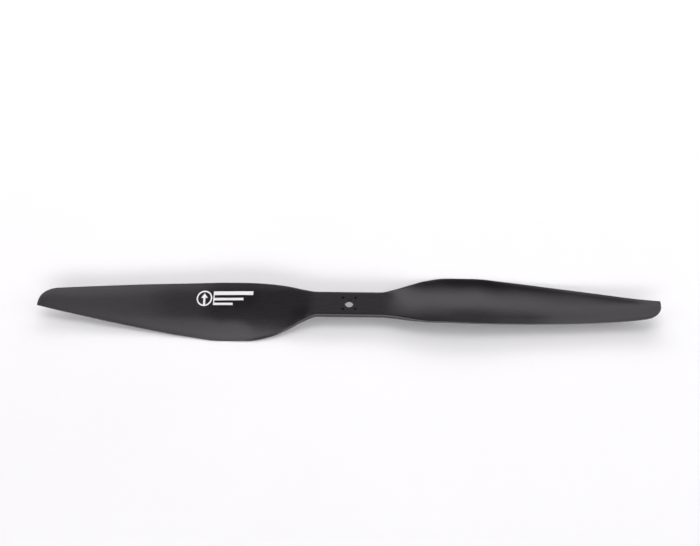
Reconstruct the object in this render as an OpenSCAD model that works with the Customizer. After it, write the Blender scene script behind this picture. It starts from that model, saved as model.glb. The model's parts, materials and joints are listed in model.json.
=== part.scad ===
// Fixed-pitch two-blade propeller: moulded carbon-fibre shells over foam cores, with a solid
// drilled hub.
// Origin: centre of the shaft bore on the hub's lower (motor) face. +Z is the thrust direction.
// The blades lie along X. Seen from +Z it turns clockwise; the mirror image turns the other way.
// Blade A lies along -X and carries the decal. Blade B is blade A turned half a turn about Z.

/* [Size] */
// Tip-to-tip diameter
prop_d = 711.2; // [680:0.1:740]
// Geometric pitch: forward travel in one turn
prop_pitch = 233.7; // [200:0.1:260]

/* [Hub] */
// Thickness of the hub between its flat faces
hub_t = 7; // [6.5:0.1:8]
// Width of the rounded shoulder along the hub's long edges
shoulder_w = 2.6; // [2:0.1:3]
// Diameter of the shaft bore
bore_d = 10; // [8:0.1:11]
// Diameter of the circle the screw holes sit on
screw_circle_d = 20; // [19:0.1:21]
// Diameter of each screw hole
screw_hole_d = 3.2; // [2.6:0.1:3.4]
// Half length of the solid hub core
hub_core_l = 40; // [38:0.5:44]

/* [Layup] */
// Thickness of the carbon skins
skin_t = 0.3; // [0.25:0.05:0.4]
// Thickness of the extra plies at the hub
doubler_t = 0.3; // [0.25:0.05:0.4]
// Radius at which the extra plies end
doubler_r = 104; // [95:1:115]
// Thickness of the unidirectional spar caps at the hub
spar_t = 0.3; // [0.25:0.05:0.4]
// Clearance left between bonded layers
glue = 0.05; // [0.03:0.01:0.08]
// Half the width of the seam between the two skins
seam = 0.05; // [0.03:0.01:0.08]

/* [Blade] */
// Radius at which the foam core stops and the solid tip starts
foam_r = 326; // [300:1:327]
// Radius at which the leading edge starts to round off into the tip
tip_start = 333; // [330:1:340]
// Exponent of the tip's rounding, 2 for an ellipse
tip_exp = 2.8; // [2:0.1:3.2]
// Radius of the leading edge, as a share of the blade's thickness there
nose = 0.26; // [0.16:0.01:0.3]
// Width of the blunt trailing edge
edge_t = 0.55; // [0.4:0.05:0.8]

/* [Decal] */
// Radius of the decal's inner end
decal_r = 110; // [105:1:120]
// Distance of the decal's centre line from the blade's long axis, towards the leading edge
decal_y = 4.5; // [3:0.5:7]

/* [Hidden] */

// Radii and plan sizes are given for the design diameter and multiplied by size.
design_d = 711.2;
tip_r = design_d / 2;
size = prop_d / design_d;
root_r = 34;          // the hub's bar form starts to change into the blade's form
form_r = 98;          // the blade's form is complete
small_chord = 14;     // shorter chords have less thickness and camber
tip_keep = 0.12;      // least share of the chord left at the tip
edge_round = 0.5;     // length of the trailing edge's rounding
core_gap = 0.2;       // radial gap between the ends of neighbouring cores
core_min_h = 0.06;    // least half height of a core
bond_gap = 0.025;     // clearance between an edge bond or tip block and a skin
doubler_full_r = 60;  // the extra plies thin outwards from here
doubler_end_r = 22;   // rounded end of the extra plies
doubler_end_y = -8;   // centre of that end
drill_margin = 5;     // the drills pass the hub's faces by this much
plan_z = -30;         // bottom of the extruded plans

skin_upper_color = [0.24, 0.24, 0.25];
skin_lower_color = [0.22, 0.22, 0.23];
doubler_color = [0.16, 0.16, 0.17];
spar_color = [0.12, 0.12, 0.13];
hub_core_color = [0.18, 0.17, 0.17];
foam_color = [0.93, 0.90, 0.80];
bond_color = [0.30, 0.28, 0.24];
tip_color = [0.14, 0.14, 0.15];
decal_color = [0.93, 0.93, 0.94];

// Design stations: radius, leading edge offset, trailing edge offset, share of the pitch angle,
// rise of the mid-chord above the hub's middle plane.
STATIONS = [
    [  0.0, 15.5, -15.5, 0.00,  0.0],
    [ 36.0, 15.5, -15.5, 0.00,  0.0],
    [ 52.0, 17.4, -20.8, 0.20, -0.8],
    [ 70.0, 20.6, -29.5, 0.46, -2.2],
    [ 90.0, 22.9, -37.3, 0.62, -3.2],
    [115.0, 23.8, -41.7, 0.83, -3.4],
    [145.0, 24.2, -41.9, 1.00, -4.1],
    [185.0, 23.6, -37.2, 1.14, -4.4],
    [235.0, 22.4, -29.2, 1.27, -3.6],
    [285.0, 20.0, -20.2, 1.12, -1.8],
    [325.0, 17.1, -12.6, 0.97,  0.6],
    [tip_r, 13.1,  -7.1, 1.02,  4.8]];
// Section stations: radius, thickness, camber.
SECTIONS = [
    [  0.0, 7.0, 0.0],
    [ 36.0, 7.0, 0.0],
    [ 60.0, 6.8, 0.8],
    [ 90.0, 5.9, 1.9],
    [140.0, 4.8, 2.5],
    [200.0, 3.8, 1.8],
    [260.0, 3.0, 1.4],
    [320.0, 2.1, 1.1],
    [tip_r, 1.3, 0.4]];

function mix(from, to, share) = from + (to - from) * share;
function clamp(x) = min(max(x, 0), 1);
function smooth(x) = let (u = clamp(x)) u * u * (3 - 2 * u);

// Monotone cubic interpolation down a table's columns.
function step_of(table, i) = table[i + 1][0] - table[i][0];
function rise_of(table, i, column) =
    (table[i + 1][column] - table[i][column]) / step_of(table, i);
// Slope at an end of the table, from the end interval and the one next to it.
function end_slope(table, end, next, column) =
    let (end_step = step_of(table, end), next_step = step_of(table, next),
         end_rise = rise_of(table, end, column), next_rise = rise_of(table, next, column),
         slope = ((2 * end_step + next_step) * end_rise - end_step * next_rise)
                 / (end_step + next_step))
    slope * end_rise <= 0 ? 0 :
    (end_rise * next_rise <= 0 && abs(slope) > 3 * abs(end_rise)) ? 3 * end_rise : slope;
function slope_at(table, i, column) =
    let (last = len(table) - 1)
    i == 0 ? end_slope(table, 0, 1, column) :
    i == last ? end_slope(table, last - 1, last - 2, column) :
    let (rise_in = rise_of(table, i - 1, column), rise_out = rise_of(table, i, column),
         step_in = step_of(table, i - 1), step_out = step_of(table, i))
    rise_in * rise_out <= 0 ? 0 :
    3 * (step_in + step_out)
        / ((2 * step_out + step_in) / rise_in + (step_out + 2 * step_in) / rise_out);
function slopes_of(table) =
    [for (i = [0:len(table) - 1])
        [for (column = [0:len(table[0]) - 1]) column == 0 ? 0 : slope_at(table, i, column)]];
STATION_SLOPES = slopes_of(STATIONS);
SECTION_SLOPES = slopes_of(SECTIONS);
// All columns at radius r. Column 0 is not used.
function row_at(table, slopes, r) =
    let (i = max([for (j = [0:len(table) - 2]) if (r >= table[j][0]) j]),
         step = step_of(table, i), u = (r - table[i][0]) / step)
    table[i] * (1 + 2 * u) * (1 - u) * (1 - u) + slopes[i] * step * u * (1 - u) * (1 - u)
    + table[i + 1] * u * u * (3 - 2 * u) + slopes[i + 1] * step * u * u * (u - 1);

// Entries of a section, the blade's cross-section at one radius.
LEAD_Y = 0;   // leading edge
LEAD_Z = 1;
UNIT_Y = 2;   // unit vector from the leading to the trailing edge
UNIT_Z = 3;
CHORD = 4;
THICK = 5;
CAMBER = 6;
FORM = 7;     // 0 for the hub's bar, 1 for the blade's form
SLIM = 8;     // thickness factor for short chords

function section_at(radius) =
    let (r = radius / size,
         station = row_at(STATIONS, STATION_SLOPES, r),
         profile = row_at(SECTIONS, SECTION_SLOPES, r),
         lead = size * station[1], trail = size * station[2],
         twist = atan(prop_pitch / (2 * PI * radius)) * station[3],
         mid_z = hub_t / 2 + size * station[4],
         tip_share = clamp((r - tip_start) / (tip_r - tip_start)),
         keep = max(pow(1 - pow(tip_share, tip_exp), 1 / tip_exp), tip_keep),
         front = trail + (lead - trail) * keep,
         chord = (front - trail) / cos(twist))
    [front, mid_z + (front - (lead + trail) / 2) * tan(twist), -cos(twist), -sin(twist), chord,
     hub_t / SECTIONS[0][1] * profile[1], size * profile[2],
     smooth((r - root_r) / (form_r - root_r)), min(1, mix(0.35, 1, chord / small_chord))];

// In what follows, x is a place along the chord as a share of it, 0 at the leading edge.
// Rounded shoulder: 0 at distance 0, 1 from distance 1 on.
function shoulder(distance) =
    let (power = 2.2) pow(1 - pow(1 - clamp(distance), power), 1 / power);
// Streamlined half thickness, about 1 at its fullest.
function streamline(x) =
    2.969 * sqrt(x) - 1.26 * x - 3.516 * x * x + 2.843 * pow(x, 3) - 1.036 * pow(x, 4);
// Circular nose, faded out over the first quarter of the chord.
function round_nose(x, chord, nose_r) =
    let (u = min(x * chord / nose_r, 1), fade = max(1 - x / 0.25, 0))
    nose_r * sqrt(u * (2 - u)) * pow(fade, 1 / 3);
// Half thickness, blended from the hub's bar with rounded shoulders to the blade's streamlined
// section with a blunt trailing edge.
function half_t(section, x) =
    let (chord = section[CHORD], thick = section[THICK],
         bar = thick / 2 * shoulder(min(x, 1 - x) * chord / shoulder_w),
         blend = 6,
         front = pow(pow(thick / 2 * streamline(x), blend)
                     + pow(round_nose(x, chord, nose * thick), blend), 1 / blend),
         edge = x > 0.5 ? edge_t / 2 * shoulder((1 - x) * chord / edge_round) : 0)
    max(mix(bar, max(front, edge), section[FORM]) * section[SLIM], seam);
function camber_at(section, x) =
    section[FORM] * section[CAMBER] * 4 * x * (1 - x) * min(1, section[CHORD] / small_chord);

// Places of the lines along the blade at which every layer is drawn, so that neighbouring
// layers share their facets. Line 0 is the leading edge and line 16 the trailing edge; the spar
// caps lie between lines 5 and 8.
SPAR_FRONT = 5;
SPAR_BACK = 8;
LAST_LINE = 16;
function lines_of(section) =
    let (chord = section[CHORD], form = section[FORM], narrow = min(1, chord / 16),
         rim = 0.25 * narrow / chord, edge = 1.0 * narrow / chord,
         inset = shoulder_w * narrow / chord,
         front = mix(0.14, 0.20, form), back = mix(0.86, 0.42, form),
         rear = mix(1 - (inset + 0.14) / 2, 0.80, form))
    [0, rim, edge, inset, (inset + front) / 2,
     front, mix(front, back, 1 / 3), mix(front, back, 2 / 3), back,
     mix(back, rear, 1 / 3), mix(back, rear, 2 / 3), rear,
     (rear + 1 - inset) / 2, 1 - inset, 1 - edge, 1 - rim, 1];

// Radii of the drawn stations from the hub outwards. The cores' ends are among them.
HUB_STEPS = 2;
ROOT_STEPS = 14;
BLADE_STEPS = 20;
function spaced(from, to, first, steps) =
    [for (i = [first:steps]) size * mix(from, to, i / steps)];
RADII = concat(
    spaced(root_r, hub_core_l, 0, HUB_STEPS),
    spaced(hub_core_l, 102, 1, ROOT_STEPS),
    spaced(102, foam_r, 1, BLADE_STEPS),
    [for (a = [0, 14, 28, 41, 53, 64, 74, 82.5, 90]) size * mix(tip_start, tip_r, sin(a))]);
HUB_RADII = [for (i = [0:HUB_STEPS]) RADII[i]];
SPAR_RADII = [for (i = [0:HUB_STEPS + ROOT_STEPS + BLADE_STEPS]) RADII[i]];
core_start = hub_core_l * size + core_gap;
core_end = foam_r * size;
CORE_RADII = concat([core_start],
    [for (r = RADII) if (r > core_start + 1 && r < core_end - 1) r], [core_end]);
TIP_RADII = concat([core_end + core_gap],
    [for (r = RADII) if (r > core_end + 2 && r < 352 * size) r]);

// A point of blade A at a height above the parting surface, in the section's own plane.
function point_at(radius, section, x, height) =
    let (z = camber_at(section, x) + height, along = x * section[CHORD])
    [-radius,
     section[LEAD_Y] + section[UNIT_Y] * along + section[UNIT_Z] * z,
     section[LEAD_Z] + section[UNIT_Z] * along - section[UNIT_Y] * z];
function turned(p) = [-p[0], -p[1], p[2]];

// Thickness and depth of the layers.
function doubler_here(radius) =
    let (r = radius / size,
         thinned = clamp((r - doubler_full_r) / (doubler_r - doubler_full_r)))
    doubler_t * size * mix(1, 0.25, thinned);
function spar_depth(radius) =
    skin_t + glue + (radius < doubler_r * size + 3 ? doubler_here(radius) + glue : 0);
function spar_here(radius) = spar_t * mix(1, 0.5, min(1, radius / (330 * size)));
// Half height of the space between the skins.
function cavity(section, x, line) =
    line < 2 || line > LAST_LINE - 2 ? seam : max(half_t(section, x) - skin_t, seam);
// Half height of the cores, stepped down under the spar caps.
function core_h(radius, section, x, under) =
    max(half_t(section, x) - spar_depth(radius) - (under ? spar_here(radius) + glue : 0),
        core_min_h);

// Closed loft through rings of equal length. Each ring runs along the layer's upper side and
// back along its lower side, so its end caps are strips between opposite points.
module loft(rings) {
    n = len(rings[0]);
    last = len(rings) - 1;
    half = n / 2;
    function cap(o, first) =
        [for (i = [0:half - 2])
            let (a = o + i, b = o + i + 1, c = o + n - 2 - i, d = o + n - 1 - i)
            each (first ? [[a, b, c], [a, c, d]] : [[a, c, b], [a, d, c]])];
    walls = [for (j = [0:last - 1]) for (i = [0:n - 1])
        let (a = j * n + i, b = j * n + (i + 1) % n, c = b + n, d = a + n)
        each (i < half ? [[a, c, b], [a, d, c]] : [[a, d, b], [b, d, c]])];
    polyhedron(
        points = [for (ring = rings) each ring],
        faces = concat(walls, cap(0, true), cap(last * n, false)));
}

// Rings from a list of sides, [upper points, lower points] at each radius outwards. Blade B's
// rings are turned about Z, and reversed across the chord so that they meet blade A's at the hub.
function reversed(list) = [for (i = [len(list) - 1:-1:0]) list[i]];
function blade_a_rings(sides) = [for (s = reversed(sides)) concat(s[0], reversed(s[1]))];
function blade_b_rings(sides) =
    [for (s = sides) [for (p = concat(reversed(s[0]), s[1])) turned(p)]];
module blade_loft(sides) { loft(blade_a_rings(sides)); }
module tip_to_tip(sides) { loft(concat(blade_a_rings(sides), blade_b_rings(sides))); }

// Sides of a layer on one side of the parting surface: side is 1 for upper and -1 for lower.
// Each profile entry is [x, outer height, inner height].
function layer_sides(radius, section, side, profile) =
    [for (column = side > 0 ? [1, 2] : [2, 1])
        [for (p = profile) point_at(radius, section, p[0], side * p[column])]];
// Sides of a solid across the parting surface. Each profile entry is [x, half height].
function solid_sides(radius, section, profile) =
    [for (side = [1, -1])
        [for (p = profile) point_at(radius, section, p[0], side * p[1])]];

function skin_sides(radius, side) =
    let (section = section_at(radius), xs = lines_of(section))
    layer_sides(radius, section, side, [for (n = [0:LAST_LINE])
        [xs[n], half_t(section, xs[n]),
         n == 0 || n == LAST_LINE ? seam * 0.4 : cavity(section, xs[n], n)]]);
// A band over some of the lines, between two depths below the blade's surface.
function band_sides(radius, side, lines, outer, inner) =
    let (section = section_at(radius), xs = lines_of(section))
    layer_sides(radius, section, side, [for (n = lines)
        let (h = half_t(section, xs[n])) [xs[n], h - outer, h - inner]]);
// A core with a step under the spar caps. before and after are the lines on either side of it.
function core_sides(radius, before, after) =
    let (section = section_at(radius), xs = lines_of(section), gap = glue / section[CHORD],
         front = xs[SPAR_FRONT], back = xs[SPAR_BACK],
         places = concat(
             [for (n = before) [xs[n] + (n == before[0] ? gap : 0), false]],
             [[front - gap, false], [front - gap * 0.2, true],
              [xs[6], true], [xs[7], true],
              [back + gap * 0.2, true], [back + gap, false]],
             [for (n = after) [xs[n] - (n == after[len(after) - 1] ? gap : 0), false]]))
    solid_sides(radius, section,
        [for (p = places) [p[0], core_h(radius, section, p[0], p[1])]]);
// A solid that fills the space between the skins over some of the lines.
function fill_sides(radius, lines) =
    let (section = section_at(radius), xs = lines_of(section), gap = glue / section[CHORD],
         last = len(lines) - 1)
    solid_sides(radius, section, [for (i = [0:last])
        let (x = xs[lines[i]] + (i == 0 ? gap : i == last ? -gap : 0))
        [x, cavity(section, x, lines[i]) - bond_gap]]);

// Shaft bore and screw holes, through whatever they are taken from.
module drilled() {
    drill_h = hub_t + 2 * drill_margin;
    difference() {
        children();
        translate([0, 0, -drill_margin]) cylinder(d = bore_d, h = drill_h, $fn = 96);
        for (a = [45:90:315])
            rotate([0, 0, a])
                translate([screw_circle_d / 2, 0, -drill_margin])
                    cylinder(d = screw_hole_d, h = drill_h, $fn = 48);
    }
}

// One carbon shell, tip to tip.
module skin(side) { tip_to_tip([for (r = RADII) skin_sides(r, side)]); }
module upper_skin() { color(skin_upper_color) drilled() skin(1); }
module lower_skin() { color(skin_lower_color) drilled() skin(-1); }

// Extra plies that carry the screw clamp out into the blades, with rounded ends.
module doubler(side) {
    end_x = -size * (doubler_r - doubler_end_r);
    front_y = doubler_end_y + doubler_end_r;
    back_y = -29.9;
    depth = skin_t + glue;
    intersection() {
        tip_to_tip([for (r = RADII) if (r < (doubler_r + 12) * size)
            band_sides(r, side, [4:11], depth, depth + doubler_here(r))]);
        translate([0, 0, plan_z]) linear_extrude(height = 60)
            for (a = [0, 180]) rotate([0, 0, a]) {
                translate([end_x, doubler_end_y * size])
                    scale([size, size]) circle(r = doubler_end_r, $fn = 96);
                polygon([[1, back_y], [1, front_y],
                         [end_x, size * front_y], [end_x, size * back_y]]);
            }
    }
}
module upper_root_doubler() { color(doubler_color) drilled() doubler(1); }
module lower_root_doubler() { color(doubler_color) drilled() doubler(-1); }

// Unidirectional strips along both blades, spread round the screw holes at the hub.
module spar_cap(side) {
    tip_to_tip([for (r = SPAR_RADII)
        band_sides(r, side, [SPAR_FRONT:SPAR_BACK], spar_depth(r), spar_depth(r) + spar_here(r))]);
}
module upper_spar_cap() { color(spar_color) drilled() spar_cap(1); }
module lower_spar_cap() { color(spar_color) drilled() spar_cap(-1); }

// Solid block that takes the screw clamp.
module hub_core() {
    color(hub_core_color) drilled()
        tip_to_tip([for (r = HUB_RADII) core_sides(r, [2, 3, 4], [12, 13, 14])]);
}

module foam_core() { blade_loft([for (r = CORE_RADII) core_sides(r, [3, 4], [9, 10, 11])]); }
module blade_a_foam_core() { color(foam_color) foam_core(); }
module blade_b_foam_core() { color(foam_color) rotate([0, 0, 180]) foam_core(); }

// Resin and fibre beads that join the two skins along the edges.
module edge_bond(lines) { blade_loft([for (r = CORE_RADII) fill_sides(r, lines)]); }
module leading_edge_bond() { edge_bond([1, 2, 3]); }
module trailing_edge_bond() { edge_bond([11, 12, 13, 14, 15]); }
module blade_a_leading_edge_bond() { color(bond_color) leading_edge_bond(); }
module blade_b_leading_edge_bond() { color(bond_color) rotate([0, 0, 180]) leading_edge_bond(); }
module blade_a_trailing_edge_bond() { color(bond_color) trailing_edge_bond(); }
module blade_b_trailing_edge_bond() { color(bond_color) rotate([0, 0, 180]) trailing_edge_bond(); }

// Solid laminate inside the thin tip, where foam no longer fits.
module tip_block() {
    lines = [for (n = [2:14]) n];
    blade_loft([for (r = TIP_RADII) fill_sides(r, lines)]);
}
module blade_a_tip_block() { color(tip_color) tip_block(); }
module blade_b_tip_block() { color(tip_color) rotate([0, 0, 180]) tip_block(); }

// Printed film on blade A: a ring with an arrow that points the way the blade moves, and three
// plain bars on a stem. Its plan starts at the outer end.
decal_l = 65;
ring_r = 9;
ring_w = 1.6;
ARROW = [[-1.2, -8.2], [1.2, -8.2], [1.2, 0.4], [3.9, 0.4], [0, 5.8], [-3.9, 0.4], [-1.2, 0.4]];
BARS = [[19.4, 8], [decal_l, 8], [decal_l, 3.6], [20.6, 3.6], [20.6, 0.2], [54, 0.2],
        [54, -2.6], [20.6, -2.6], [20.6, -5.4], [42, -5.4], [42, -8], [19.4, -8]];
module decal_film() {
    // Negative depths lie above the blade's surface.
    blade_loft([for (r = RADII) if (r > (decal_r - 16) * size && r < (decal_r + 78) * size)
        band_sides(r, 1, [1:10], -0.1, -0.02)]);
}
module decal_plan() {
    translate([ring_r, 0]) difference() {
        circle(r = ring_r, $fn = 72);
        circle(r = ring_r - ring_w, $fn = 72);
    }
    translate([ring_r, 0]) polygon(ARROW);
    polygon(BARS);
}
module direction_decal() {
    color(decal_color) intersection() {
        decal_film();
        translate([-(decal_r + decal_l) * size, decal_y * size, plan_z])
            linear_extrude(height = 70) scale([size, size]) decal_plan();
    }
}

upper_skin();
lower_skin();
upper_root_doubler();
lower_root_doubler();
upper_spar_cap();
lower_spar_cap();
hub_core();
blade_a_foam_core();
blade_b_foam_core();
blade_a_leading_edge_bond();
blade_b_leading_edge_bond();
blade_a_trailing_edge_bond();
blade_b_trailing_edge_bond();
blade_a_tip_block();
blade_b_tip_block();
direction_decal();
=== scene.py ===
import json
import math
from types import SimpleNamespace

import bmesh
import bpy
import numpy as np
from mathutils import Matrix, Vector


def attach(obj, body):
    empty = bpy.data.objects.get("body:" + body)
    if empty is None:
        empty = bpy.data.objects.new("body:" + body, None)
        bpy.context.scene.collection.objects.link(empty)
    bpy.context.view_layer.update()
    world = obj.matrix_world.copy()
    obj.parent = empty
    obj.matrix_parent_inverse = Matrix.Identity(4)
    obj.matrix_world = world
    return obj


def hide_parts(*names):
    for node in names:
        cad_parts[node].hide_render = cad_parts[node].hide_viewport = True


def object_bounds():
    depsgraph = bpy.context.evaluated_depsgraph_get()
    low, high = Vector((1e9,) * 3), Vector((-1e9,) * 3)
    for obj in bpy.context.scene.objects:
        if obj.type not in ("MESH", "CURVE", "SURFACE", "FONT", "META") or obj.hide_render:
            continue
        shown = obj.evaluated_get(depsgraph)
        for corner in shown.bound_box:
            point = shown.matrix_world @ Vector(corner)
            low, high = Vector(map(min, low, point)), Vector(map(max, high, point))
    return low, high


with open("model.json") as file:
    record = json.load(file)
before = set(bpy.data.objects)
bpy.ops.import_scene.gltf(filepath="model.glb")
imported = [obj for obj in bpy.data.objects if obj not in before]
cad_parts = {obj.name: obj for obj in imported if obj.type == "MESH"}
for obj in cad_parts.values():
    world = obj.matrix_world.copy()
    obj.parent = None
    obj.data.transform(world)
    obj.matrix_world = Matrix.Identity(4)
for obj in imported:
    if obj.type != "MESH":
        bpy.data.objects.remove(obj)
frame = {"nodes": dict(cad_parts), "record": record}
cad_low, cad_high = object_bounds()
scene = bpy.context.scene
scene.view_settings.view_transform = "Standard"
scene.view_settings.look = "None"
scene.view_settings.exposure = 0.0
scene.view_settings.gamma = 1.0

# ---------------------------------------------------------------- the blade's form (mm)
HUB_T = 7.0                        # thickness of the hub
PITCH = 233.7                      # advance per turn
ROOT_R, FORM_R = 34.0, 98.0        # the flat bar turns into a wing section between these radii
ROOT_END_R = 102.0                 # rings lie closer together inside this radius
TIP_START, TIP_R = 333.0, 355.6    # the rounded tip
TIP_EXP, TIP_KEEP = 2.8, 0.12      # the tip's roundness, and the least share of chord kept
SHOULDER = 2.6                     # width of the bar's rounded edges
NOSE, NOSE_END = 0.26, 0.25        # nose radius as a share of thickness; its reach along the chord
EDGE_T, EDGE_ROUND = 0.55, 0.5     # the trailing edge's thickness and the width of its rounding
FULL_CHORD = 14.0                  # chords below this get less camber and thickness
SKIN_T, SKIN_MIN = 0.3, 0.02       # a shell's thickness, and its least
SEAM = 0.05                        # least half thickness
RIM = SEAM * 0.4                   # height of a shell's inside at its rims
BORE_R, SCREW_R, SCREW_CIRCLE_R = 5.0, 1.6, 10.0
SHARP_ANGLE = 32                   # degrees

# radius, leading edge y, trailing edge y, share of the pitch angle, rise of the chord's middle
STATIONS = np.array([
    [0.0, 15.5, -15.5, 0.00, 0.0], [36.0, 15.5, -15.5, 0.00, 0.0],
    [52.0, 17.4, -20.8, 0.20, -0.8], [70.0, 20.6, -29.5, 0.46, -2.2],
    [90.0, 22.9, -37.3, 0.62, -3.2], [115.0, 23.8, -41.7, 0.83, -3.4],
    [145.0, 24.2, -41.9, 1.00, -4.1], [185.0, 23.6, -37.2, 1.14, -4.4],
    [235.0, 22.4, -29.2, 1.27, -3.6], [285.0, 20.0, -20.2, 1.12, -1.8],
    [325.0, 17.1, -12.6, 0.97, 0.6], [TIP_R, 13.1, -7.1, 1.02, 4.8]])
# radius, thickness, camber
SECTIONS = np.array([
    [0.0, HUB_T, 0.0], [36.0, HUB_T, 0.0], [60.0, 6.8, 0.8], [90.0, 5.9, 1.9], [140.0, 4.8, 2.5],
    [200.0, 3.8, 1.8], [260.0, 3.0, 1.4], [320.0, 2.1, 1.1], [TIP_R, 1.3, 0.4]])


def monotone_slopes(table):
    """Monotone cubic slopes for each column after the first."""
    slopes = np.zeros_like(table)
    gap = np.diff(table[:, 0])

    def end_slope(gap0, gap1, rise0, rise1):
        slope = ((2 * gap0 + gap1) * rise0 - gap0 * rise1) / (gap0 + gap1)
        if slope * rise0 <= 0:
            return 0.0
        return 3 * rise0 if rise0 * rise1 <= 0 and abs(slope) > 3 * abs(rise0) else slope

    for c in range(1, table.shape[1]):
        rise = np.diff(table[:, c]) / gap
        for i in range(1, len(table) - 1):
            if rise[i - 1] * rise[i] > 0:
                slopes[i, c] = 3 * (gap[i - 1] + gap[i]) / (
                    (2 * gap[i] + gap[i - 1]) / rise[i - 1] + (gap[i] + 2 * gap[i - 1]) / rise[i])
        slopes[0, c] = end_slope(gap[0], gap[1], rise[0], rise[1])
        slopes[-1, c] = end_slope(gap[-1], gap[-2], rise[-1], rise[-2])
    return slopes


def smooth_table(table):
    """A function that gives every column after the first, at a radius."""
    slopes = monotone_slopes(table)

    def look_up(radius):
        i = min(int(np.searchsorted(table[:, 0], radius, side="right")) - 1, len(table) - 2)
        gap = table[i + 1, 0] - table[i, 0]
        u = (radius - table[i, 0]) / gap
        row = (table[i] * (1 + 2 * u) * (1 - u) ** 2 + slopes[i] * gap * u * (1 - u) ** 2
               + table[i + 1] * u * u * (3 - 2 * u) + slopes[i + 1] * gap * u * u * (u - 1))
        return row[1:]

    return look_up


station_at, thickness_at = smooth_table(STATIONS), smooth_table(SECTIONS)


def section_at(radius):
    """Blade A's section: its leading point, direction along the chord, and sizes."""
    leading, trailing, pitch_share, rise = station_at(radius)
    thickness, camber = thickness_at(radius)
    twist = math.atan(PITCH / (2 * math.pi * radius)) * pitch_share
    tip = min(max((radius - TIP_START) / (TIP_R - TIP_START), 0), 1)
    keep = max((1 - tip ** TIP_EXP) ** (1 / TIP_EXP), TIP_KEEP)
    y = trailing + (leading - trailing) * keep
    chord = (y - trailing) / math.cos(twist)
    formed = min(max((radius - ROOT_R) / (FORM_R - ROOT_R), 0), 1)
    return SimpleNamespace(
        radius=radius, y=y,
        z=HUB_T / 2 + rise + (y - (leading + trailing) / 2) * math.tan(twist),
        along_y=-math.cos(twist), along_z=-math.sin(twist),
        chord=chord, thickness=thickness, camber=camber,
        wing_share=formed * formed * (3 - 2 * formed),
        fullness=min(1.0, 0.35 + 0.65 * chord / FULL_CHORD))


def rounded(share):
    share = np.clip(share, 0, 1)
    return (1 - (1 - share) ** 2.2) ** (1 / 2.2)


def half_thickness(section, q):
    """Half thickness at share q of the chord: a bar at the root, a wing section further out."""
    full, chord = section.thickness, section.chord
    bar = full / 2 * rounded(np.minimum(q, 1 - q) * chord / SHOULDER)
    # the wing is a four-digit aerofoil polynomial with a blunter nose and a thicker trailing edge
    wing = full / 2 * (2.969 * np.sqrt(q) - 1.26 * q - 3.516 * q ** 2
                       + 2.843 * q ** 3 - 1.036 * q ** 4)
    u = np.minimum(q * chord / (NOSE * full), 1)
    nose = NOSE * full * np.sqrt(u * (2 - u)) * np.maximum(1 - q / NOSE_END, 0) ** (1 / 3)
    wing = (wing ** 6 + nose ** 6) ** (1 / 6)
    edge = EDGE_T / 2 * rounded((1 - q) * chord / EDGE_ROUND)
    wing = np.maximum(wing, np.where(q > 0.5, edge, 0))
    share = section.wing_share
    return np.maximum(((1 - share) * bar + share * wing) * section.fullness, SEAM)


def blade_points(section, q, height):
    """Points of blade A at share q of the chord and a height above the parting surface."""
    camber = section.wing_share * section.camber * 4 * q * (1 - q)
    off = camber * min(1.0, section.chord / FULL_CHORD) + height
    along = q * section.chord
    return np.stack([np.full_like(along, -section.radius),
                     section.y + section.along_y * along + section.along_z * off,
                     section.z + section.along_z * along - section.along_y * off], 1)


# ---------------------------------------------------------------- meshes
def shade_smooth(mesh, sharp_angle):
    for polygon in mesh.polygons:
        polygon.use_smooth = True
    if sharp_angle:
        mesh.set_sharp_from_angle(angle=math.radians(sharp_angle))


def link_object(name, data):
    made = bpy.data.objects.new(name, data)
    scene.collection.objects.link(made)
    return made


def mesh_object(name, points, faces, sharp_angle=SHARP_ANGLE):
    """A closed mesh from points in millimetres, its faces turned outwards."""
    mesh = bpy.data.meshes.new(name)
    mesh.from_pydata([tuple(p) for p in np.asarray(points) / 1000.0], [], faces)
    mesh.validate()
    build = bmesh.new()
    build.from_mesh(mesh)
    bmesh.ops.recalc_face_normals(build, faces=build.faces)
    if build.calc_volume(signed=True) < 0:
        bmesh.ops.reverse_faces(build, faces=build.faces)
    build.to_mesh(mesh)
    build.free()
    made = link_object(name, mesh)
    shade_smooth(mesh, sharp_angle)
    return made


def drill_tool(radius, x, y, segments, bottom=-3.0, top=10.0):
    """A cylinder through the hub."""
    n = segments
    angles = np.linspace(0, 2 * math.pi, n, endpoint=False) + math.pi / n
    points = [(x + radius * math.cos(a), y + radius * math.sin(a), z)
              for z in (bottom, top) for a in angles]
    faces = [(i, (i + 1) % n, n + (i + 1) % n, n + i) for i in range(n)]
    faces += [tuple(range(n))[::-1], tuple(range(n, 2 * n))]
    return mesh_object("tool", points, faces, sharp_angle=0)


def drill(shell):
    """Cut the bore and the four screw holes."""
    tools = [drill_tool(BORE_R, 0, 0, segments=128)]
    for k in range(4):
        a = math.radians(45 + 90 * k)
        x, y = SCREW_CIRCLE_R * math.cos(a), SCREW_CIRCLE_R * math.sin(a)
        tools.append(drill_tool(SCREW_R, x, y, segments=64))
    for tool in tools:
        cut = shell.modifiers.new("drill", "BOOLEAN")
        cut.operation, cut.solver, cut.object = "DIFFERENCE", "EXACT", tool
    bpy.context.view_layer.update()
    evaluated = shell.evaluated_get(bpy.context.evaluated_depsgraph_get())
    drilled = bpy.data.meshes.new_from_object(evaluated)
    shell.modifiers.clear()
    shell.data = drilled
    for tool in tools:
        bpy.data.objects.remove(tool)
    shade_smooth(drilled, SHARP_ANGLE)
    return shell


# ---------------------------------------------------------------- skin shells
EDGE_LINES, MID_LINES = 11, 30


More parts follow.
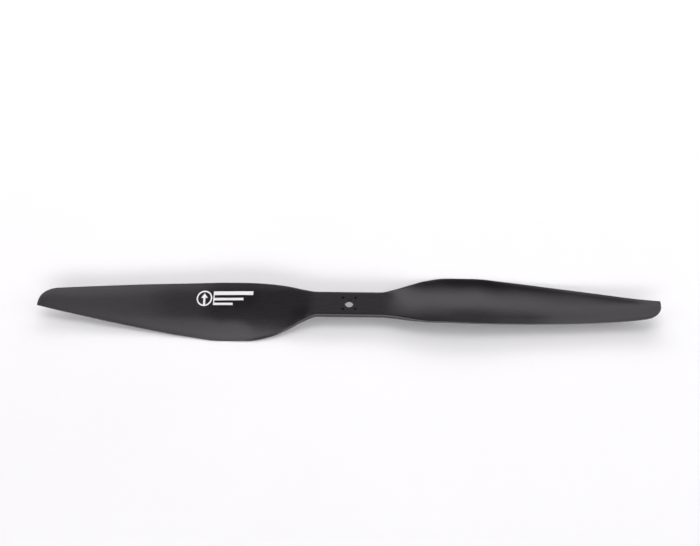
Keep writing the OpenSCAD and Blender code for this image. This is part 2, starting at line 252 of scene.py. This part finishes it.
def chord_shares(chord):
    """Shares of the chord, close together round both edges."""
    width = min(1.0, chord / 16)
    edge = SHOULDER * width / chord * (1 - np.cos(np.linspace(0, math.pi / 2, EDGE_LINES)))
    middle = np.linspace(edge[-1], 1 - edge[-1], MID_LINES + 2)[1:-1]
    return np.concatenate([edge, middle, (1 - edge)[::-1]])


def skin_ring(radius, side):
    """A closed ring of a shell on blade A. side is 1 for the upper shell, -1 for the lower."""
    section = section_at(radius)
    q = chord_shares(section.chord)
    outer = half_thickness(section, q)
    inner = np.maximum(outer - SKIN_T, SEAM)
    inner[0] = inner[-1] = RIM
    inner = np.minimum(inner, np.maximum(outer - SKIN_MIN, RIM))
    face, inside = (blade_points(section, q, side * height) for height in (outer, inner))
    high, low = (face, inside) if side > 0 else (inside, face)
    return np.concatenate([high, low[::-1]])


def opposite_ring(ring):
    """The ring turned half round onto blade B, its points in step with blade A's."""
    half = len(ring) // 2
    swapped = np.concatenate([ring[:half][::-1], ring[half:][::-1]])
    return swapped * np.array([-1.0, -1.0, 1.0])


def ring_radii():
    root = np.linspace(ROOT_R, ROOT_END_R, 41)
    blade = np.linspace(ROOT_END_R, TIP_START, 67)[1:]
    tip = TIP_START + (TIP_R - TIP_START) * np.sin(np.radians(np.linspace(0, 90, 22)[1:]))
    return np.concatenate([root, blade, tip])


def skin_shell(name, side):
    radii = ring_radii()
    blade_a = [skin_ring(radius, side) for radius in radii[::-1]]
    blade_b = [opposite_ring(skin_ring(radius, side)) for radius in radii]
    # rings along the flat hub let it be drilled cleanly; none runs through a hole's tangent point
    start, end = blade_a[-1], blade_b[0]
    hub = [start + (end - start) * u for u in np.linspace(0, 1, 10)[1:-1]]
    rings = blade_a + hub + blade_b
    n, count = len(rings[0]), len(rings)
    faces = []
    for j in range(count - 1):
        for i in range(n):
            k = (i + 1) % n
            faces.append((j * n + i, j * n + k, (j + 1) * n + k, (j + 1) * n + i))
    for first in (0, (count - 1) * n):
        for i in range(n // 2 - 1):
            faces.append((first + i, first + i + 1, first + n - 2 - i, first + n - 1 - i))
    return drill(mesh_object(name, np.concatenate(rings), faces))


# ---------------------------------------------------------------- decal on blade A's upper face
DECAL_X, DECAL_Y = -175.0, 4.5           # place of the decal's own origin
DECAL_TOP, DECAL_BOTTOM = 0.09, 0.015    # heights above the skin
RING_R, RING_INNER_R, RING_POINTS = 9.0, 7.4, 96
SHAFT_HALF_W = 1.2
HEAD_HALF_W, HEAD_Y, HEAD_TOP_Y = 3.9, 0.4, 5.8
STEM_LEFT, STEM_RIGHT = 19.4, 20.6
STEM_YS = [-8.0, -5.4, -2.6, 0.2, 3.6, 8.0]
BAR_ENDS = (42.0, 54.0, 65.0)            # from the lowest bar to the highest


def on_upper_face(x, y, lift):
    """Points above blade A's upper face at plan positions, found by halving along the chord."""
    points = np.zeros((len(x), 3))
    for i, (plan_x, plan_y) in enumerate(zip(x, y)):
        section = section_at(-plan_x)
        low, high = 0.0, 1.0
        for _ in range(34):
            middle = (low + high) / 2
            q = np.array([middle])
            point = blade_points(section, q, half_thickness(section, q) + lift)[0]
            if point[1] > plan_y:
                low = middle
            else:
                high = middle
        points[i] = point
    return points


def draw_ring_and_arrow(build):
    def vert(x, y):
        return build.verts.new((x, y, 0))

    n = RING_POINTS
    angles = [2 * math.pi * i / n for i in range(n)]
    outer = [vert(RING_R + RING_R * math.cos(a), RING_R * math.sin(a)) for a in angles]
    # the corners of the arrow's foot take the place of two of the ring's inside points
    bottom = n * 3 // 4
    foot_start, foot_end = bottom - 3, bottom + 3
    foot_angle = math.asin(SHAFT_HALF_W / RING_INNER_R)
    angles[foot_start] = 1.5 * math.pi - foot_angle
    angles[foot_end] = 1.5 * math.pi + foot_angle
    inner = [vert(RING_R + RING_INNER_R * math.cos(a), RING_INNER_R * math.sin(a))
             for a in angles]
    for i in range(n):
        k = (i + 1) % n
        build.faces.new([outer[i], outer[k], inner[k], inner[i]])
    # shaft and head share an edge
    neck_right = vert(RING_R + SHAFT_HALF_W, HEAD_Y)
    neck_left = vert(RING_R - SHAFT_HALF_W, HEAD_Y)
    build.faces.new(inner[foot_start:foot_end + 1] + [neck_right, neck_left])
    left, right = vert(RING_R - HEAD_HALF_W, HEAD_Y), vert(RING_R + HEAD_HALF_W, HEAD_Y)
    build.faces.new([left, neck_left, neck_right, right, vert(RING_R, HEAD_TOP_Y)])


def draw_stem_and_bars(build):
    """An upright stem with three bars to its right, made of rectangles that share edges."""
    left, right = ([build.verts.new((x, y, 0)) for y in STEM_YS] for x in (STEM_LEFT, STEM_RIGHT))
    for i in range(len(STEM_YS) - 1):
        build.faces.new([left[i], right[i], right[i + 1], left[i + 1]])
    for k, end in enumerate(BAR_ENDS):
        low, high = 2 * k, 2 * k + 1
        end_low, end_high = (build.verts.new((end, STEM_YS[j], 0)) for j in (low, high))
        build.faces.new([right[low], end_low, end_high, right[high]])


def decal_print():
    build = bmesh.new()
    draw_ring_and_arrow(build)
    draw_stem_and_bars(build)
    # cut across often enough to follow the blade
    for normal, places in (((1, 0, 0), np.arange(1.5, 65, 2.0)),
                           ((0, 1, 0), np.arange(-7.1, 8.5, 1.1))):
        for place in places:
            bmesh.ops.bisect_plane(
                build, geom=build.verts[:] + build.edges[:] + build.faces[:],
                plane_co=[place * part for part in normal], plane_no=normal, dist=1e-5)
    bmesh.ops.remove_doubles(build, verts=build.verts, dist=1e-4)
    plan = np.array([v.co[:2] for v in build.verts])
    x, y = DECAL_X + plan[:, 0], DECAL_Y + plan[:, 1]
    top, bottom = on_upper_face(x, y, DECAL_TOP), on_upper_face(x, y, DECAL_BOTTOM)
    count = len(plan)
    build.verts.index_update()
    faces = []
    for face in build.faces:
        corners = [v.index for v in face.verts]
        x, y = plan[corners].T
        if np.sum(x * np.roll(y, -1) - np.roll(x, -1) * y) < 0:
            corners = corners[::-1]
        faces.append(tuple(corners))
        faces.append(tuple(count + i for i in corners[::-1]))
    for edge in build.edges:
        if len(edge.link_faces) == 1:
            i, j = edge.verts[0].index, edge.verts[1].index
            faces.append((i, j, count + j, count + i))
    build.free()
    return mesh_object("direction_decal_print", np.concatenate([top, bottom]), faces,
                       sharp_angle=40)


pieces = [
    (skin_shell("upper_skin_shell", 1), "upper_skin", "carbon_skin"),
    (skin_shell("lower_skin_shell", -1), "lower_skin", "carbon_skin"),
    (decal_print(), "direction_decal", "white_print"),
]
for piece, node_name, slot in pieces:
    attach(piece, "root")
    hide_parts(node_name)


# ---------------------------------------------------------------- shader building
class Shader:
    """The nodes of a material or world, built from an empty tree."""

    def __init__(self, owner, output="OutputMaterial"):
        owner.use_nodes = True
        self.owner, self.tree = owner, owner.node_tree
        self.tree.nodes.clear()
        self.output = self.add(output)

    def feed(self, node, inputs):
        """Link each input to a socket, or set it to a value."""
        for key, value in inputs.items():
            if isinstance(value, bpy.types.NodeSocket):
                self.tree.links.new(value, node.inputs[key])
            else:
                node.inputs[key].default_value = value

    def add(self, kind, inputs=None, **settings):
        node = self.tree.nodes.new("ShaderNode" + kind)
        for key, value in settings.items():
            setattr(node, key, value)
        self.feed(node, inputs or {})
        return node

    def finish(self, surface):
        self.feed(self.output, {0: surface})
        return self.owner

    def principled(self, **inputs):
        """A principled surface; underscores in the argument names stand for spaces."""
        named = {key.replace("_", " "): value for key, value in inputs.items()}
        return self.add("BsdfPrincipled", named).outputs[0]

    def mix(self, share, first, second):
        return self.add("MixShader", {0: share, 1: first, 2: second}).outputs[0]

    def coordinates(self, stretch=(1.0, 1.0, 1.0)):
        place = self.add("TexCoord").outputs["Object"]
        return self.add("Mapping", {"Vector": place, "Scale": stretch}).outputs["Vector"]

    def noise(self, stretch, detail=3.0, roughness=0.5):
        return self.add("TexNoise", {
            "Vector": self.coordinates(stretch), "Scale": 1.0,
            "Detail": detail, "Roughness": roughness}).outputs["Fac"]

    def ramp(self, value, low, high, start=0.3, end=0.7):
        """Colours from low to high as the value goes from start to end."""
        node = self.add("ValToRGB", {"Fac": value})
        first, last = node.color_ramp.elements
        first.position, last.position = start, end
        first.color, last.color = low, high
        return node.outputs["Color"]

    def step(self, value, start=0.3, end=0.7, low=0.0, high=1.0, kind="SMOOTHSTEP"):
        """low to high as the value goes from start to end."""
        return self.add("MapRange", {
            "Value": value, "From Min": start, "From Max": end,
            "To Min": low, "To Max": high}, interpolation_type=kind).outputs["Result"]

    def scale(self, value, low, high):
        return self.step(value, low=low, high=high, kind="LINEAR")

    def math(self, operation, result, *others):
        for other in others:
            result = self.add("Math", {0: result, 1: other}, operation=operation).outputs[0]
        return result

    def bump(self, height, strength, distance):
        return self.add("Bump", {
            "Height": height, "Strength": strength, "Distance": distance}).outputs[0]


def new_shader(name):
    return Shader(bpy.data.materials.new(name))


def grey(value, tint=(1.0, 1.0, 1.0)):
    return (*(value * part for part in tint), 1.0)


# ---------------------------------------------------------------- materials
def carbon_skin():
    """Unidirectional carbon along the blades under a thin, lightly satin clear coat."""
    shader = new_shader("carbon_unidirectional_satin")
    fine = shader.noise((45.0, 3400.0, 3400.0), roughness=0.6)
    tow = shader.noise((6.0, 330.0, 330.0), detail=2.0)
    broad = shader.noise((9.0, 22.0, 22.0), detail=2.0)
    fibres = shader.math("ADD", shader.math("MULTIPLY", fine, 0.55),
                         shader.math("MULTIPLY", tow, 0.45))
    tint = (1.04, 0.98, 1.06)
    return shader.finish(shader.principled(
        Base_Color=shader.ramp(fine, grey(0.001, tint), grey(0.010, tint), start=0.36, end=0.66),
        Roughness=shader.scale(fibres, low=0.36, high=0.5),
        Specular_IOR_Level=0.06, Anisotropic=0.5,
        Coat_Weight=1.0, Coat_IOR=1.5,
        Coat_Roughness=shader.scale(broad, low=0.08, high=0.11),
        Normal=shader.bump(fibres, strength=0.25, distance=0.00002),
        Coat_Normal=shader.bump(tow, strength=0.12, distance=0.0001)))


def plain(name, low, high, roughness, stretch, bump=0.2):
    """One noise drives colour, roughness (least, most) and bump."""
    shader = new_shader(name)
    grain = shader.noise(stretch, detail=4.0, roughness=0.6)
    return shader.finish(shader.principled(
        Base_Color=shader.ramp(grain, low, high),
        Roughness=shader.scale(grain, *roughness),
        Specular_IOR_Level=0.2,
        Normal=shader.bump(grain, strength=bump, distance=0.00003)))


def woven_carbon():
    """Plain-weave carbon plies, seen only where the part is cut open."""
    shader = new_shader("carbon_plies")
    place = shader.coordinates()
    waves = [shader.add("TexWave", {"Vector": place, "Scale": 160.0, "Distortion": 0.3},
                        bands_direction=axis).outputs["Fac"] for axis in "XY"]
    weave = shader.math("MULTIPLY", *waves)
    return shader.finish(shader.principled(
        Base_Color=shader.ramp(weave, grey(0.008), grey(0.04), start=0.1, end=0.8),
        Roughness=0.5, Specular_IOR_Level=0.2,
        Normal=shader.bump(weave, strength=0.3, distance=0.0001)))


def rigid_foam():
    shader = new_shader("rigid_foam")
    cells = shader.add("TexVoronoi", {
        "Vector": shader.coordinates(), "Scale": 1400.0}).outputs["Distance"]
    return shader.finish(shader.principled(
        Base_Color=shader.ramp(cells, (0.80, 0.72, 0.56, 1), (0.90, 0.85, 0.72, 1),
                               start=0.0, end=0.6),
        Roughness=0.9,
        Normal=shader.bump(cells, strength=0.5, distance=0.0002)))


def white_ink():
    """Matt white ink: slightly uneven cover and a faint grain."""
    shader = new_shader("white_ink")
    grain = shader.noise((1600.0, 2400.0, 2000.0), detail=5.0, roughness=0.65)
    return shader.finish(shader.principled(
        Base_Color=shader.ramp(grain, (0.72, 0.72, 0.73, 1), (0.84, 0.84, 0.85, 1),
                               start=0.2, end=0.65),
        Roughness=shader.scale(grain, low=0.4, high=0.6)))


slot_material = {
    "carbon_skin": carbon_skin(),
    "carbon_ply": woven_carbon(),
    "carbon_ud": plain("carbon_spar", low=grey(0.006), high=grey(0.02), roughness=(0.35, 0.5),
                       stretch=(20.0, 2400.0, 2400.0)),
    "carbon_block": plain("moulded_carbon", low=grey(0.004), high=grey(0.02),
                          roughness=(0.5, 0.7), stretch=(420.0, 420.0, 420.0), bump=0.3),
    "foam": rigid_foam(),
    "resin": plain("cured_adhesive", low=(0.05, 0.045, 0.035, 1), high=(0.11, 0.09, 0.06, 1),
                   roughness=(0.25, 0.4), stretch=(120.0, 500.0, 500.0)),
    "white_print": white_ink(),
}
node_slot = {s["node"]: s["material_slot"] for s in frame["record"]["subparts"]}
dressed = [(piece, slot) for piece, _, slot in pieces]
dressed += [(piece, node_slot[name]) for name, piece in frame["nodes"].items()]
for piece, slot in dressed:
    piece.data.materials.clear()
    piece.data.materials.append(slot_material[slot])

# ---------------------------------------------------------------- floor (metres from here on)
FLOOR_GAP = 0.00004
SHEET_HALF = 6.0                           # half the width of the floor and of the roof
ROOF_HEIGHT = 0.7
BACKDROP = (0.93, 0.925, 0.93, 1)
ROOF_TINT = (0.95, 0.885, 0.955, 1.0)
LIGHT_TINT = (1, 0.985, 1)


def sheet(name, segments, height):
    """A square level sheet."""
    build = bmesh.new()
    bmesh.ops.create_grid(build, x_segments=segments, y_segments=segments, size=SHEET_HALF)
    mesh = bpy.data.meshes.new(name)
    build.to_mesh(mesh)
    build.free()
    made = link_object(name, mesh)
    made.location = (0, 0, height)
    return made


def pale_floor():
    shader = new_shader("pale_floor")
    matt = shader.principled(
        Base_Color=shader.ramp(shader.noise((3.0, 3.0, 3.0)),
                               (0.90, 0.90, 0.905, 1), (0.92, 0.92, 0.925, 1)),
        Roughness=0.7, Specular_IOR_Level=0.0)
    # far from the part the floor runs out into the pale backdrop
    position = shader.add("NewGeometry").outputs["Position"]
    reach = shader.add("VectorMath", {0: position}, operation="LENGTH").outputs["Value"]
    fade = shader.ramp(shader.math("DIVIDE", reach, SHEET_HALF), (0, 0, 0, 1), (1, 1, 1, 1),
                       start=0.13, end=0.42)
    faded = shader.mix(fade, matt, shader.add("Emission", {"Color": BACKDROP}).outputs[0])
    # from below the floor is clear, so the underside can be looked at
    below = shader.math("MULTIPLY", shader.add("NewGeometry").outputs["Backfacing"],
                        shader.add("LightPath").outputs["Is Camera Ray"])
    return shader.finish(shader.mix(below, faded, shader.add("BsdfTransparent").outputs[0]))


floor = sheet("floor", segments=8, height=cad_low.z - FLOOR_GAP)
floor.data.materials.append(pale_floor())

# ---------------------------------------------------------------- world and tent roof
# strength of the soft light by height of its direction
DOME = {"top": 0.0, "side": 0.2, "low": 0.02}
# The roof's strength by the ray's angle from straight up, in degrees, positive towards +Y.
ROOF_LIT = [
    (-180, 2.6), (-90, 3.2), (-60, 3.2), (-40, 2.7), (-30, 2.3), (-25, 2.15), (-20, 1.85),
    (-15, 1.6), (-10, 1.38), (-5, 1.22), (2, 1.14), (10, 1.16), (15, 1.36), (20, 1.52),
    (25, 1.60), (32, 1.64), (42, 1.66), (50, 1.79), (56, 1.84), (60, 1.78), (65, 1.50),
    (70, 0.85), (75, 0.25), (80, 0.03), (85, 0.0), (180, 0.0)]
# The share of it left over the part, by the same angle.
ROOF_DIM = [
    (-180, 1.0), (-30, 1.0), (-25, 0.60), (-20, 0.41), (-15, 0.27), (-10, 0.27), (2, 0.30),
    (10, 0.29), (15, 0.28), (20, 0.31), (25, 0.37), (30, 0.44), (35, 0.53), (40, 0.68),
    (45, 0.8), (51, 0.96), (56, 1.0), (180, 1.0)]
CURVE_TOP = 3.5                            # strength that a white ramp colour stands for
# Darker and brighter places: rise and fall along X, rise and fall in degrees, gain.
ROOF_SPOTS = [
    ((-0.40, -0.31, -0.25, -0.12), (-10.0, 0.0, 8.0, 22.0), 0.55),
    ((0.20, 0.32, 0.40, 0.50), (26.0, 36.0, 41.0, 51.0), 0.70),
    ((0.40, 0.52, 1.50, 2.00), (-20.0, 0.0, 16.0, 30.0), 1.2)]


def tent_world():
    """Soft white light all round. Gloss sees the tent's front wall and the dark far side."""
    scene.world = bpy.data.worlds.new("tent")
    shader = Shader(scene.world, "OutputWorld")
    ray = shader.add("SeparateXYZ", {0: shader.add("TexCoord").outputs["Generated"]}).outputs
    path = shader.add("LightPath").outputs

    def background(**inputs):
        return shader.add("Background", inputs).outputs[0]

    mirror = background(Color=ROOF_TINT,
                        Strength=shader.step(ray["Y"], start=-0.1, end=0.1, low=3.0, high=0.0))
    upper = shader.step(ray["Z"], start=0.70, end=0.92, low=DOME["side"], high=DOME["top"])
    lower = shader.step(ray["Z"], start=0.22, end=0.50, low=DOME["low"] - DOME["side"], high=0.0)
    soft = background(Color=(*LIGHT_TINT, 1), Strength=shader.math("ADD", upper, lower))
    light = shader.mix(path["Is Glossy Ray"], soft, mirror)
    # past the floor's edge the camera sees a plain pale backdrop
    shader.finish(shader.mix(path["Is Camera Ray"], light, background(Color=BACKDROP)))


def angle_curve(shader, share, stops):
    """A strength looked up by angle, given as a share of the span from -180 to 180."""
    node = shader.add("ValToRGB", {"Fac": share})
    elements = node.color_ramp.elements
    for angle, _ in stops[1:-1]:
        elements.new((angle + 180) / 360)
    for element, (_, strength) in zip(elements, stops):
        element.color = grey(strength / CURVE_TOP)
    return shader.math("MULTIPLY", node.outputs["Color"], CURVE_TOP)


def window(shader, value, limits):
    """1 between the two middle limits, falling to 0 at the outer ones."""
    return shader.math("MULTIPLY", shader.step(value, limits[0], limits[1]),
                       shader.step(value, limits[2], limits[3], low=1.0, high=0.0))


def roof_glow():
    shader = new_shader("tent_roof")
    geometry = shader.add("NewGeometry").outputs
    x = shader.add("SeparateXYZ", {0: geometry["Position"]}).outputs["X"]
    ray = shader.add("SeparateXYZ", {0: geometry["Incoming"]}).outputs
    multiply = lambda *values: shader.math("MULTIPLY", *values)
    subtract = lambda *values: shader.math("SUBTRACT", *values)
    away = shader.math("ARCTAN2", multiply(ray["Y"], -1.0), multiply(ray["Z"], -1.0))
    angle = multiply(away, 180 / math.pi)
    share = shader.math("ADD", shader.math("DIVIDE", angle, 360.0), 0.5)
    lit, dim = (angle_curve(shader, share, stops) for stops in (ROOF_LIT, ROOF_DIM))
    # the dim patch over the part; its ends along X shift with the angle
    from_left = subtract(x, shader.step(angle, start=-26.0, end=-8.0, low=-0.18, high=-0.42))
    from_right = subtract(x, shader.step(angle, start=26.0, end=36.0, low=0.0, high=0.05))
    inside = multiply(shader.step(from_left, start=-0.07, end=0.07),
                      shader.step(from_right, start=0.38, end=0.50, low=1.0, high=0.0))
    shade = subtract(1.0, multiply(inside, subtract(1.0, dim)))
    # the far corner towards +X is nearly dark
    corner = multiply(shader.step(x, start=0.48, end=0.82),
                      shader.step(angle, start=42.0, end=56.0), 0.9)
    total = multiply(lit, shade, subtract(1.0, corner))
    for x_limits, angle_limits, gain in ROOF_SPOTS:
        change = multiply(window(shader, x, x_limits), window(shader, angle, angle_limits),
                          gain - 1.0)
        total = multiply(total, shader.math("ADD", change, 1.0))
    glow = shader.add("Emission", {"Strength": total, "Color": ROOF_TINT})
    return shader.finish(glow.outputs[0])


def tent_roof():
    """The tent's white roof, seen only in gloss, dim where the camera and its stand are."""
    roof = sheet("tent_roof", segments=2, height=ROOF_HEIGHT)
    for ray in ("camera", "diffuse", "shadow", "transmission", "volume_scatter"):
        setattr(roof, "visible_" + ray, False)
    glow = roof_glow()
    glow.cycles.emission_sampling = "NONE"
    roof.data.materials.append(glow)


tent_world()
tent_roof()

# ---------------------------------------------------------------- light panels
# name, place, width and height, watts; front is -Y, left is -X
PANELS = [
    ("back_top", (0.0, 1.0, 2.2), (3.0, 1.0), 21.0),
    ("back_high", (0.0, 1.6, 1.5), (2.4, 1.0), 7.0),
    ("back_mid", (0.0, 2.4, 1.4), (4.0, 0.8), 32.9),
    ("back_low", (0.0, 2.2, 0.9), (3.0, 0.6), 12.8),
    ("front_mid", (0.0, -2.4, 1.4), (4.0, 0.8), 36.9),
    ("front_low", (0.0, -2.2, 0.9), (3.0, 0.6), 13.7),
    ("left", (-2.2, 0.0, 1.0), (0.8, 2.0), 10.1),
    ("right", (2.2, 0.0, 1.0), (0.8, 2.0), 13.7)]


def light_panel(name, location, size, watts):
    """An area light aimed at the origin and unseen in gloss."""
    data = bpy.data.lights.new(name, "AREA")
    data.shape = "RECTANGLE"
    data.size, data.size_y = size
    data.energy = watts
    data.color = LIGHT_TINT
    panel = link_object(name, data)
    panel.location = location
    panel.rotation_mode = "QUATERNION"
    panel.rotation_quaternion = (Vector() - Vector(location)).to_track_quat("-Z", "Y")
    panel.visible_glossy = False


for panel_values in PANELS:
    light_panel(*panel_values)

# ---------------------------------------------------------------- camera
LENS, SENSOR_WIDTH = 35.3545714, 36.0      # mm
DISTANCE = 0.81187                         # from the camera to the point it is aimed at
ELEVATION, ROLL, YAW = (math.radians(angle) for angle in (61.258, -0.1256, -0.606))
HUB_OFFSET = Vector((-0.00094, -0.04320, 0.0))    # the hub from the aimed point, before the yaw


def add_camera():
    data = bpy.data.cameras.new("camera")
    data.sensor_fit, data.sensor_width = "HORIZONTAL", SENSOR_WIDTH
    data.lens = LENS
    data.clip_start, data.clip_end = 0.01, 50.0
    camera = bpy.data.objects.new("camera", data)
    forward = Vector((0, math.cos(ELEVATION), -math.sin(ELEVATION)))
    level_up = Vector((0, math.sin(ELEVATION), math.cos(ELEVATION)))
    level_right = Vector((1, 0, 0))
    right = level_right * math.cos(ROLL) - level_up * math.sin(ROLL)
    up = level_right * math.sin(ROLL) + level_up * math.cos(ROLL)
    turn = Matrix.Rotation(-YAW, 3, "Z")
    basis = Matrix((turn @ right, turn @ up, turn @ -forward)).transposed()
    place = turn @ (-forward * DISTANCE - HUB_OFFSET)
    camera.matrix_world = Matrix.Translation(place) @ basis.to_4x4()
    scene.collection.objects.link(camera)
    scene.camera = camera


add_camera()
